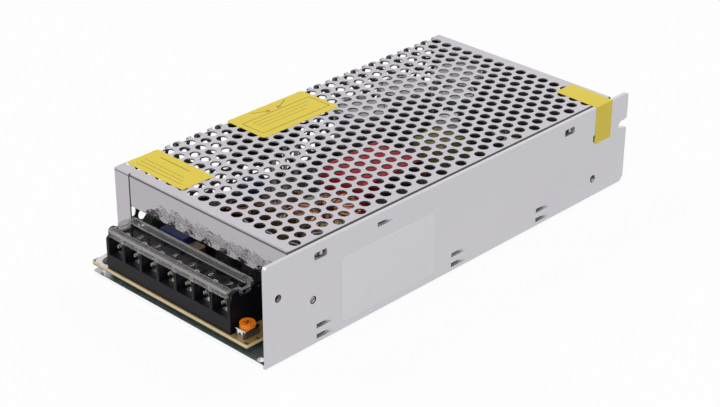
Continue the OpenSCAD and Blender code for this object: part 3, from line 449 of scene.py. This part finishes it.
# the edge is near black along its lowest strip
low_strip = z < board_low.z / mm + LOW_STRIP
edge_shade = board_finish.mix(low_strip, edge_shade, (0.07, 0.065, 0.035))
laminate = board_finish.mix(up, board_finish.mix(down, edge_shade, lightened_underside), top_shade)
print("board's underside at", round(board_low.z / mm, 2), "mm")

# %% [markdown]
# ## Marks on the board
# Round the corner screw the board is tinned, to earth the case. The trimmer's legs end in dark
# spots; they could be raised drops, but solder this thin is only a change of colour. Under the
# cover a real board is lost in shadow. Here the soft light still reaches it, so its colour is
# taken down there.

# %% The board's pad and marks
LEGS = ((4.2, -4.4), (4.6, 0.6), (4.4, 4.2))     # from the trimmer's middle
SPOT = 0.9                                       # half a solder spot's length, and its width
PAD_RADIUS = 5.2
SCREW_RADIUS = 2.8             # of the head, so the pad's centre is this far in
COVERED = 4.0                  # the shade starts this far behind the cover's front
screw_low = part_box("board_screws")[0]
corner_screw = (screw_low.x / mm + SCREW_RADIUS, screw_low.y / mm + SCREW_RADIUS)
pad = (distance(x, y, corner_screw) < PAD_RADIUS) * up
trimmer = middle("trimmer_frame")
spots = 0.0
for leg in LEGS:
    a, b = trimmer[0] + leg[0], trimmer[1] + leg[1]
    spots = stroke(x, y, (a - SPOT, b), (a + SPOT, b + 0.2), SPOT) + spots
deep = up * (y > front + COVERED)
laminate = board_finish.mix(spots * up, laminate, (0.03, 0.025, 0.02))
laminate = board_finish.mix(deep * 0.7, laminate, (0.03, 0.02, 0.008))
board_finish.set("Base Color", board_finish.mix(pad, laminate, (0.62, 0.62, 0.60)))
board_finish.set("Metallic", pad * 0.8)
board_finish.set("Roughness", fibre * 0.15 + 0.3)
board_finish.bump(fibre, 0.03)
dress(board_finish, "board")

# %% [markdown]
# ## Mouldings
# Black phenolic, nylon and epoxy share a recipe: a dark colour, a fairly broad gloss, and a
# fine grain from the mould. Only the numbers change, so one function makes them all. The
# darkest ones are also less reflective than plastic mostly is, because a bright room would
# otherwise turn them grey.

# %% Black mouldings
def moulded(name, colour, rough, grain_mm=0.35, depth_mm=0.012, **constants):
    finish = Finish(name, colour, rough, **constants)
    grain = finish.noise(grain_mm, detail=3.0)
    cloud = finish.noise(8.0, detail=2.0)
    finish.set("Base Color", finish.mix(cloud, shade(colour, 0.82), shade(colour, 1.1)))
    finish.set("Roughness", rough - 0.06 + cloud * 0.06 + grain * 0.06)
    finish.bump(grain, depth_mm)
    return finish


phenolic = moulded("black_phenolic", (0.0035, 0.004, 0.0065), 0.4, Specular_IOR_Level=0.14)
nylon = moulded("black_nylon", (0.016, 0.016, 0.016), 0.5, Specular_IOR_Level=0.25)
epoxy = moulded("black_epoxy", (0.018, 0.018, 0.02), 0.55, 0.2, 0.02, Specular_IOR_Level=0.25)
dress(phenolic, "terminal_housing")
dress(nylon, "line_choke_base", "output_choke_base", "transformer_bobbin", "selector_switch")
dress(epoxy, "bridge_rectifier", "output_rectifier", "power_transistors", "control_chips",
      "small_transistors")

# %% [markdown]
# ## Coated and coloured parts
# Capacitors, the thermistor and the big resistor are dipped or cast: a thicker skin with
# coarser waves than a moulding has. The same function makes them, with a larger grain. Two
# lists keep the colours side by side, where they are easy to compare. The two blue ones need a
# lower gloss and stand apart.

# %% Coloured parts
for name, colour, rough, grain, depth, part in (
        ("thermistor_coat", (0.03, 0.045, 0.03), 0.5, 0.8, 0.05, "thermistor"),
        ("brown_lacquer", (0.17, 0.085, 0.025), 0.26, 1.0, 0.03, "film_capacitors"),
        ("white_cement", (0.94, 0.93, 0.90), 0.75, 0.25, 0.05, "cement_resistor"),
        ("wire_sleeve", (0.78, 0.72, 0.58), 0.45, 0.3, 0.02, "selector_wires"),
        ("fish_paper", (0.62, 0.59, 0.48), 0.7, 0.6, 0.02, "insulation_sheet")):
    dress(moulded(name, colour, rough, grain, depth), part)
for name, colour, rough, part in (
        ("red_nylon", (0.55, 0.03, 0.02), 0.35, "selector_slider"),
        ("trimmer_case", (0.06, 0.05, 0.045), 0.5, "trimmer_body"),
        ("grey_silicone", (0.48, 0.49, 0.46), 0.7, "insulating_pads")):
    dress(moulded(name, colour, rough), part)
blue_case = moulded("blue_case", (0.016, 0.03, 0.135), 0.34, Specular_IOR_Level=0.25)
blue_lacquer = moulded("blue_lacquer", (0.012, 0.045, 0.16), 0.3, 1.2, 0.04, Specular_IOR_Level=0.3)
dress(blue_case, "filter_capacitor")
dress(blue_lacquer, "safety_capacitors")

# %% [markdown]
# ## The trimmer's cap
# Orange nylon with a cross slot for a screwdriver. The slot is cut in the solid; what it lacks
# is the dark of a narrow cut. Light alone would need a much deeper slot for that, so the faces
# just below the cap's top are browned.

# %% Trimmer cap
SLOT_DEPTH = 1.6
SLOT_REACH = 2.45              # the slot's ends stay within this radius
orange = moulded("orange_nylon", (0.88, 0.22, 0.012), 0.34, Specular_IOR_Level=0.3)
x, y, z = orange.place()
cap_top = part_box("trimmer_rotor")[1].z / mm
reach = distance(x, y, middle("trimmer_rotor")) < SLOT_REACH
orange.tint((z < cap_top - 0.15) * (z > cap_top - SLOT_DEPTH) * reach, (0.30, 0.06, 0.008))
dress(orange, "trimmer_rotor")

# %% [markdown]
# ## Cores and tape
# Ferrite is a sintered ceramic: nearly black, dull, with a fine grit. The output choke's
# powder core is painted pale green. The transformer is bound in red polyester tape. A real
# strip could be wound round it, but a lap is only a few hundredths of a millimetre thick, so
# darker lines in the shader mark where each one ends.

# %% Magnetic parts
def tape(name, colour, lap_mm):
    finish = Finish(name, colour, 0.3, Specular_IOR_Level=0.3)
    x = finish.place()[0]
    lap = (x % lap_mm) < 0.25
    wrinkle = finish.noise(2.5, (3, 1, 1), 3.0)
    finish.set("Base Color", finish.mix(lap * 0.5 + wrinkle * 0.3, colour, shade(colour, 0.55)))
    finish.bump(wrinkle * 0.05 + lap * 0.04, 1.0)
    return finish


green_paint = moulded("green_paint", (0.02, 0.06, 0.035), 0.45, 0.5, 0.03, Specular_IOR_Level=0.3)
dress(moulded("ferrite", (0.035, 0.035, 0.037), 0.62, 0.15, 0.03), "transformer_core", "driver_core")
dress(moulded("pale_green_paint", (0.36, 0.46, 0.22), 0.4, 0.5, 0.03), "output_choke_core")
dress(green_paint, "line_choke_core")
dress(tape("red_tape", (0.50, 0.013, 0.026), 12.0), "transformer_winding", "transformer_belt")
dress(tape("olive_tape", (0.26, 0.25, 0.075), 7.0), "driver_winding")

# %% [markdown]
# ## Capacitor cans
# An aluminium can in a shrink sleeve. The sleeve covers the side and turns over the rim; the
# bare top is what shows through the vents. Two materials on one part would need its faces
# sorted, so one shader does both: the way the surface faces tells the top from the side.

# %% Cans
def can(name, sleeve, top):
    finish = Finish(name, sleeve, 0.3)
    bare = finish.facing()[2] > 0.75
    scuff = finish.noise(3.0, detail=3.0)
    finish.set("Base Color", finish.mix(bare, sleeve, finish.mix(scuff, shade(top, 0.85), top)))
    finish.set("Metallic", bare * 0.6)
    finish.set("Roughness", bare * 0.2 + scuff * 0.1 + 0.22)
    finish.bump(scuff, 0.03)
    return finish


dress(can("bulk_can", (0.05, 0.055, 0.08), (0.58, 0.58, 0.60)), "bulk_capacitors")
small_can = can("small_can", (0.03, 0.03, 0.035), (0.50, 0.50, 0.52))
dress(small_can, "output_capacitors", "small_capacitors")

# %% [markdown]
# ## Resistors and the fuse
# Carbon film resistors carry coloured bands across a tan body. They lie along or across the
# board, so bands that run diagonally cross both kinds without a material for each. The fuse is
# a glass tube in metal caps, and the distance from its middle tells the two apart.

# %% Resistors
TAN, BAND = (0.62, 0.46, 0.28), (0.20, 0.07, 0.03)
resistor_finish = Finish("resistor_lacquer", TAN, 0.35)
x, y = resistor_finish.place()[:2]
bands = ((x * 0.9 + y * 0.9) % 1.6) < 0.45
resistor_finish.set("Base Color", resistor_finish.mix(bands, TAN, BAND))
dress(resistor_finish, "resistors")

# %% Fuse
CAP = 5.0                      # length of a metal cap
fuse_low, fuse_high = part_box("fuse")
fuse_finish = Finish("fuse_glass", (0.80, 0.84, 0.84), 0.08)
y = fuse_finish.place()[1]
cap = abs(y - middle("fuse")[1]) > (fuse_high.y - fuse_low.y) / 2 / mm - CAP
fuse_finish.set("Metallic", cap)
fuse_finish.set("Alpha", cap * 0.7 + 0.3)
dress(fuse_finish, "fuse")

# %% [markdown]
# ## The clear lid
# Polycarbonate, moulded about a millimetre thick. Seen square on it is nearly invisible, and
# what it covers stays dark. Its thin edges and ribs gather light and turn milky. Plain glass
# would miss that, so two shaders are mixed: transmission for the sheet, and a milky one whose
# share grows where the surface is an edge, a rib or the raised bar. The index is set low,
# because the flange behind would otherwise lie mirrored over the whole sheet.

# %% Where the lid is milky
lid_low, lid_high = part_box("terminal_lid")
lid_finish = Finish("clear_polycarbonate", (0.74, 0.73, 0.72), 0.03,
                    Transmission_Weight=1.0, IOR=1.09)
y, z = lid_finish.place()[1:]
ny, nz = lid_finish.facing()[1:]
sheet = lid_high.z / mm - 0.35            # upper face of the sheet; the bar stands above it
lid_front = lid_low.y / mm + 0.4          # front face; the ribs stand before it
RIM, BAND_WIDTH = 1.3, 2.3                # depth of the edges, width of the strip along the front
flat_on = nz > 0.7
rim = (z > sheet - RIM) * (abs(nz) < 0.7) * 0.33
band = flat_on * (y < lid_front + BAND_WIDTH) * 0.09
bar = flat_on * (z > sheet + 0.2) * 0.1
rib = (y < lid_front - 0.1) * 0.24
lip = (ny < -0.5) * (z < sheet - 1.2) * lid_finish.noise(2.2, (0.5, 1, 3), 2.0) * 0.2
stub = flat_on * (z > sheet + 0.1) * (z < sheet + 0.2) * 0.2
milky = rim.most(band, bar, rib, lip, stub)
print("lid's sheet at", round(sheet, 2), "mm")

# %% Lid
lid_finish.bump(lid_finish.noise(9.0, (2, 1, 1), 1.0), 0.02)
haze = lid_finish.node("ShaderNodeBsdfPrincipled", None,
                       {"Base Color": (0.80, 0.78, 0.76, 1.0), "Roughness": 0.25})
clear = Wire(lid_finish, lid_finish.shader.outputs[0])
lid_finish.show(lid_finish.node("ShaderNodeMixShader", None, {0: milky, 1: clear, 2: haze}))
dress(lid_finish, "terminal_lid")

# %% [markdown]
# ## Stickers
# Paper-faced foil, which never lies quite flat: a broad wave and a fine fibre share the bump.
# The side sticker is silver and the tape is yellow, both with nothing printed on them.

# %% Plain stickers
YELLOW = (0.68, 0.535, 0.05)
INK = (0.16, 0.13, 0.03)


def sticker(name, colour, rough=0.45):
    finish = Finish(name, colour, rough, Specular_IOR_Level=0.25)
    wave = finish.noise(9.0, detail=2.0)
    fibre = finish.noise(0.3, detail=3.0)
    finish.set("Base Color", finish.mix(wave * 0.7 + fibre * 0.3, shade(colour, 0.94), colour))
    finish.bump(wave * 0.04 + fibre * 0.004, 1.0)
    return finish


dress(sticker("silver_sticker", (0.72, 0.71, 0.745), 0.42), "side_label")
dress(sticker("yellow_sticker", YELLOW), "inspection_tape")

# %% [markdown]
# ## Print without a picture
# The front label has a few ruled lines, and the one beside the slide switch a thin frame with
# two arrows. Thin strips could be laid on the paper, but ink has no thickness. A stroke is a
# mask, so the print is the union of some strokes, tinted.

# %% Ruled lines on the front label
LINE_STEP = 2.1
ruled = sticker("ruled_sticker", YELLOW)
x, y = ruled.place()[:2]
note_low, note_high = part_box("top_label")
left, right, near = note_low.x / mm + 3.0, note_high.x / mm - 3.5, note_low.y / mm + 2.6
ink = stroke(x, y, (left + 3.0, near + 9.0), (right - 6.0, near + 9.0), 0.5)
for i in range(3):
    at = near + LINE_STEP * i
    ink = ink.most(stroke(x, y, (left, at), (right - 1.7 * i, at), 0.3))
ruled.tint(ink * 0.8, INK)
dress(ruled, "top_label")

# %% Frame and lines beside the selector
framed = sticker("framed_sticker", YELLOW)
x, y = framed.place()[:2]
note_low, note_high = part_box("selector_label")
left, right = note_low.x / mm + 6.2, note_high.x / mm - 3.4
near, far = note_low.y / mm + 2.6, note_high.y / mm - 2.0
corners = [(left, near), (right, near), (right, far), (left, far)]
strokes = [stroke(x, y, a, b, 0.35) for a, b in zip(corners, corners[1:] + corners[:1])]
for i in range(3):
    line = left + 2.6 + 2.3 * i
    strokes.append(stroke(x, y, (line, near + 3.0), (line, far - 3.0 - 2.5 * i), 0.3) * 0.8)
print(len(strokes), "strokes in the frame")

# %% Arrows beside the selector
centre = (near + far) / 2
for way in (-1, 1):
    tip = (left - 1.2, centre + way * 2.0)
    barbs = [(tip[0] - 1.7, tip[1] + way * 1.1), (tip[0] + 0.1, tip[1] + way * 2.0)]
    for tail in [(left - 4.6, centre + way * 9.0)] + barbs:
        strokes.append(stroke(x, y, tail, tip, 0.4))
framed.tint(strokes[0].most(*strokes[1:]), INK)
dress(framed, "selector_label")

# %% [markdown]
# ## The route of a winding
# A heavy enamelled wire goes round and round a powder ring. In the solid model it has six flat
# sides to stay light. Here the same route is swept again with a round section. One turn is a
# rectangle with rounded corners: twelve knots, three to a corner, and a smooth curve through
# them. Every second turn lies one wire further in, because the bore has less room than the rim.

# %% A smooth curve through knots
def between(a, b, c, d, t):
    """A point on the smooth curve from b to c, whose neighbours are a and d."""
    return 0.5 * (2 * b + (c - a) * t + (2 * a - 5 * b + 4 * c - d) * t * t
                  + (3 * b - 3 * c + d - a) * t ** 3)


zigzag = [Vector(knot) for knot in ((0, 0, 0), (1, 1, 0), (2, 1, 0), (3, 0, 0))]
print("halfway between the two upper knots:", tuple(between(*zigzag, 0.5)))

# %% A wire wound on a ring core
KNOTS = 12                     # to a turn
FINE = 4                       # steps from knot to knot, on a bend
GAP, CORNER = 0.2 * mm, 0.8 * mm
SLACK = 0.08 * mm              # between the layers in the bore


def ring_route(core, bore_mm, wire_mm, turns, start, stop):
    """Points of a wire wound on a ring core, given the core's box, from start to stop degrees."""
    low, high = core
    centre = (low + high) / 2
    wire = wire_mm * mm / 2
    outer = (high.x - low.x) / 2
    bore = bore_mm * mm
    bend = wire + GAP + CORNER
    half_r = (outer - bore) / 2 + wire + GAP
    half_z = (high.z - low.z) / 2 + wire + GAP

    def knot(k):
        j = k % KNOTS
        side, angle = j // 3, 90 * (j // 3) + 45 * (j % 3)
        layer = (k // KNOTS + 1) % 2 * (wire * 2 + SLACK)
        across = -half_r - layer + bend if side in (1, 2) else half_r - bend
        along = half_z - bend if side < 2 else bend - half_z
        phi = math.radians(start + (stop - start) * k / (turns * KNOTS))
        r = (outer + bore) / 2 + across + bend * math.cos(math.radians(angle))
        h = along + bend * math.sin(math.radians(angle))
        return Vector((centre.x + r * math.cos(phi), centre.y + r * math.sin(phi), centre.z + h))

    route = []
    for k in range(turns * KNOTS):
        a, b, c, d = (knot(k + i) for i in (-1, 0, 1, 2))
        route.append(b)
        if (c - b).length <= bend:
            route += [between(a, b, c, d, i / FINE) for i in range(1, FINE)]
    return route + [knot(turns * KNOTS)]


choke = ring_route(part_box("output_choke_core"), 7.0, 1.6, 20, -150, 160)
print("output choke's route:", len(choke), "points")

# %% The line choke's two halves
line_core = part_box("line_choke_core")
halves = [ring_route(line_core, 5.5, 1.4, 8, a, a + 140) for a in (20, 200)]
print("line choke's routes:", [len(half) for half in halves], "points")

# %% [markdown]
# ## A round wire
# A curve object with a bevel would sweep a circle too, but it pinches where its points turn
# sharply. So the tube is built ring by ring: each ring keeps the last one's direction as
# nearly as the bend allows, and the two ends are closed.

# %% A tube along a route
def tube(route, radius, sides):
    points, faces = [], []
    normal = None
    last = len(route) - 1
    for i, p in enumerate(route):
        ahead = (route[min(i + 1, last)] - route[max(i - 1, 0)]).normalized()
        normal = ahead.orthogonal() if normal is None else normal - ahead * normal.dot(ahead)
        normal.normalize()
        other = ahead.cross(normal)
        for j in range(sides):
            a = 2 * math.pi * j / sides
            points.append(p + radius * (math.cos(a) * normal + math.sin(a) * other))
    for i in range(last):
        ring, following = i * sides, (i + 1) * sides
        for j in range(sides):
            q = (j + 1) % sides
            faces.append([ring + j, ring + q, following + q, following + j])
    faces.append(list(reversed(range(sides))))
    faces.append([last * sides + j for j in range(sides)])
    return points, faces


straight = [Vector((0, 0, 0)), Vector((0, 0, 1))]
print("a straight six-sided tube has", len(tube(straight, 0.5, 6)[1]), "faces")

# %% [markdown]
# ## Enamelled copper
# The enamel is a thin clear coat that darkens copper, in uneven clouds. The output choke's wire
# is bright and the line choke's a darker brown, so one function takes both pairs of colours.
# Each tube stands for the six-sided winding of its solid.

# %% Enamel
def enamelled(name, dull, bright):
    finish = Finish(name, dull, 0.28, 0.85)
    finish.set("Base Color", finish.mix(finish.noise(1.2, detail=2.0), dull, bright))
    return finish


copper = enamelled("enamelled_copper", (0.36, 0.14, 0.07), (0.60, 0.28, 0.16))
brown_copper = enamelled("dark_enamelled_copper", (0.09, 0.035, 0.018), (0.17, 0.07, 0.035))
print("enamels:", copper.material.name, brown_copper.material.name)

# %% Windings
def sweep(name, routes, radius, sides, body, finish, stands_for):
    """A round tube along each route, as one mesh."""
    points, faces = [], []
    for route in routes:
        base = len(points)
        tube_points, tube_faces = tube(route, radius, sides)
        points += tube_points
        faces += [[base + corner for corner in face] for face in tube_faces]
    mesh = bpy.data.meshes.new(name)
    mesh.from_pydata([list(p) for p in points], [], faces)
    mesh.polygons.foreach_set("use_smooth", [True] * len(faces))
    mesh.materials.append(finish.material)
    piece = bpy.data.objects.new(name, mesh)
    bpy.context.scene.collection.objects.link(piece)
    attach(piece, body)
    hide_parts(stands_for)
    print(name, len(points), "points")


sweep("choke_wire", [choke], 0.8 * mm, 12, "case", copper, "output_choke_winding")
sweep("line_choke_wire", halves, 0.7 * mm, 10, "case", brown_copper, "line_choke_windings")

# %% [markdown]
# ## Numbers on the lid
# Each terminal has a small raised number, moulded in the lid over its bay. A text object
# gives the outline; a little extrusion makes it stand up from the surface. A stroke in the
# lid's shader would be flat, and these catch light on their edges. They are faint: a frosted
# finish that lets most of the dark below through.

# %% Numbers
WAYS = 7
PLATE_HALF = 3.4 * mm          # from a clamp plate's edge to the middle of its bay
frosted = Finish("frosted_number", (0.62, 0.61, 0.60), 0.4, Alpha=0.3)
plates_low, plates_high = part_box("clamp_plates")
pitch = ((plates_high.x - plates_low.x) - 2 * PLATE_HALF) / (WAYS - 1)
for i in range(WAYS):
    words = bpy.data.curves.new(f"number_{i + 1}", "FONT")
    words.body = str(i + 1)
    words.size = 3.4 * mm
    words.extrude = 0.06 * mm
    words.align_x, words.align_y = "CENTER", "CENTER"
    words.materials.append(frosted.material)
    piece = bpy.data.objects.new(f"number_{i + 1}", words)
    bpy.context.scene.collection.objects.link(piece)
    piece.location = (plates_low.x + PLATE_HALF + i * pitch, lid_low.y + 5.0 * mm, lid_high.z - 0.65 * mm)
    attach(piece, "lid")
print("numbers at", round(pitch / mm, 2), "mm")

# %% [markdown]
# ## A white room
# A plain floor that is almost white to the eye, and to mirrors and glass, but still takes the
# part's shadow. More light on everything would whiten it too, and bleach the part. So the
# floor and the world both ask what kind of ray has met them, and only rays that end in the
# eye, in a mirror or in glass see white.

# %% Floor
def seen(graph):
    """A mask that is 1 for the eye, and for what it sees in mirrors and through glass."""
    camera_ray = graph.node("ShaderNodeLightPath", output="Is Camera Ray")
    return camera_ray.most(camera_ray.output("Is Glossy Ray"), camera_ray.output("Is Transmission Ray"))


REACH = 3.0                    # half the floor's width, in metres
WHITE = (1, 1, 1, 1)
corners = [(-REACH, -REACH, 0), (REACH, -REACH, 0), (REACH, REACH, 0), (-REACH, REACH, 0)]
floor_mesh = bpy.data.meshes.new("floor")
floor_mesh.from_pydata(corners, [], [(0, 1, 2, 3)])
floor = bpy.data.objects.new("floor", floor_mesh)
bpy.context.scene.collection.objects.link(floor)
floor.location.z = solid_box[0].z - 0.0002
floor_finish = Finish("pale_floor", (0.80, 0.80, 0.80), 0.6)
lit = Wire(floor_finish, floor_finish.shader.outputs[0])
glow = floor_finish.node("ShaderNodeEmission", None, {"Color": WHITE, "Strength": 1.0})
floor_finish.show(floor_finish.node("ShaderNodeMixShader", None,
                                    {0: seen(floor_finish) * 0.9, 1: lit, 2: glow}))
floor_mesh.materials.append(floor_finish.material)
print("floor at", floor.location.z)

# %% World
world = bpy.data.worlds.new("studio")
bpy.context.scene.world = world
world.use_nodes = True
air = Graph(world.node_tree)
sky = air.tree.nodes["Background"]
sky.inputs["Color"].default_value = WHITE
sky.inputs["Strength"].default_value = 0.3
white = air.node("ShaderNodeBackground", None, {"Color": WHITE, "Strength": 1.0})
mixed = air.node("ShaderNodeMixShader", None, {0: seen(air), 1: Wire(air, sky.outputs[0]), 2: white})
air.show(mixed, "World Output")
print("sky strength", sky.inputs["Strength"].default_value)

# %% [markdown]
# ## Lamps
# A small lamp makes hard shadows and tiny highlights, which metal turns into glitter. Three
# wide discs are kinder: the key over the terminals shapes the folds, the fill opens the
# perforated side, and the one behind draws the far edges.

# %% Lamps
def lamp(name, place, size, power):
    data = bpy.data.lights.new(name, "AREA")
    data.shape, data.size, data.energy = "DISK", size, power
    made = bpy.data.objects.new(name, data)
    bpy.context.scene.collection.objects.link(made)
    made.location = place
    made.rotation_mode = "QUATERNION"
    made.rotation_quaternion = (Vector((0, 0, 0.02)) - Vector(place)).to_track_quat("-Z", "Y")


lamp("key", (0.5, -0.5, 0.9), 0.7, 6.5)
lamp("fill", (-0.8, -0.3, 0.6), 0.8, 4.0)
lamp("back", (0.1, 0.9, 0.8), 0.8, 5.0)

# %% [markdown]
# ## Camera
# Far enough off for a long lens, which keeps the edges of a box nearly parallel, a little
# above, and turned to show the terminals and the folded wall. Its direction is given as two
# angles and a slight roll, as a tripod head would be set.

# %% Camera
azimuth, elevation, roll = (math.radians(a) for a in (44.214, 27.796, 0.151))
back = Vector((math.sin(azimuth) * math.cos(elevation),
               -math.cos(azimuth) * math.cos(elevation),
               math.sin(elevation)))
eye = bpy.data.cameras.new("camera")
eye.lens, eye.sensor_width = 90.7, 36.0
eye.clip_start, eye.clip_end = 0.02, 20.0
camera = bpy.data.objects.new("camera", eye)
bpy.context.scene.collection.objects.link(camera)
camera.location = (0.43239, -0.44998, 0.33852)
camera.rotation_mode = "QUATERNION"
camera.rotation_quaternion = (-back).to_track_quat("-Z", "Y") @ Quaternion((0, 0, 1), roll)
bpy.context.scene.camera = camera
bpy.context.scene.view_settings.view_transform = "Standard"
print("camera at", [round(v, 3) for v in camera.location])

# %% [markdown]
# ## Size
# Nothing that was added may make the part bigger than its solids. The box of the solids,
# measured before anything was added, is printed.

# %% Size, then finish
print("cad", [round(c / mm, 2) for v in solid_box for c in v])
